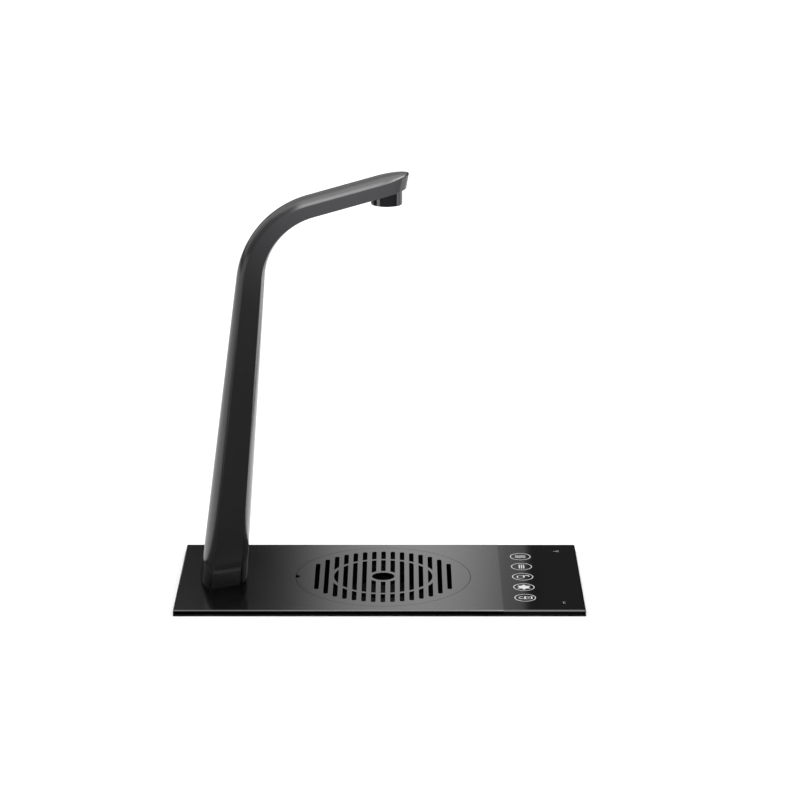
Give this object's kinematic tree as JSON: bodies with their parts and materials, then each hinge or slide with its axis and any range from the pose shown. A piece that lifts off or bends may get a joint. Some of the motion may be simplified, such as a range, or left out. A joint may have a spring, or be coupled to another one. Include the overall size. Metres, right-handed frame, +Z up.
{
  "type": "boiling water tap",
  "caption": "Boiling, chilled and mixed water tap: a leaning column and spout on a flat black plate with a lift-out drip grille and a glass touch panel.",
  "frame": {"origin": "Centre of the plate's footprint, on the worktop's top", "axes": "+X runs along the plate from the tap towards the touch panel, +Y to the back, +Z up"},
  "size_m": [0.31, 0.1874, 0.404],
  "materials": {
    "satin_black_metal": "satin",
    "black_frame": "satin",
    "black_enamel": "gloss",
    "black_glass": "polished",
    "black_rubber": "matte",
    "stainless_steel": "brushed",
    "plain_brass": "machined",
    "black_plastic": "fine grain",
    "grey_plastic": "matte",
    "white_tube": "matte",
    "green_board": "gloss",
    "lamp_white": "gloss"
  },
  "bodies": {
    "tap": {"base_frame": "black_frame", "worktop_seal": "black_rubber", "deck_plate": "satin_black_metal", "plate_screws": "stainless_steel", "touch_glass": "black_glass", "drip_bowl": "black_enamel", "bowl_seal": "black_rubber", "drain_strainer": "stainless_steel", "drain_screw": "stainless_steel", "drain_seal": "black_rubber", "waste_tail": "black_plastic", "tap_body": "satin_black_metal", "foot_ring": "black_rubber", "outlet_sleeve": "satin_black_metal", "outlet_ring": "black_rubber", "outlet_insert": "grey_plastic", "tap_shank": "plain_brass", "shank_washer": "black_rubber", "shank_plate": "stainless_steel", "shank_nut": "plain_brass", "inlet_block": "black_plastic", "inlet_ports": "grey_plastic", "boiling_tube": "white_tube", "chilled_tube": "white_tube", "mixed_tube": "white_tube", "fixing_studs": "stainless_steel", "clamp_claws": "stainless_steel", "wing_nuts": "stainless_steel", "light_mask": "black_plastic", "icon_lights": "lamp_white", "touch_board": "green_board", "data_socket": "black_plastic", "touch_housing": "black_plastic", "housing_seal": "black_rubber", "housing_screws": "stainless_steel"},
    "grille": {"drip_grille": "satin_black_metal", "grille_pads": "black_rubber"}
  },
  "joints": [
    {"name": "grille_lift", "type": "slide", "parent": "tap", "child": "grille", "axis": [0, 0, 1], "range_m": [0, 0.06]}
  ]
}
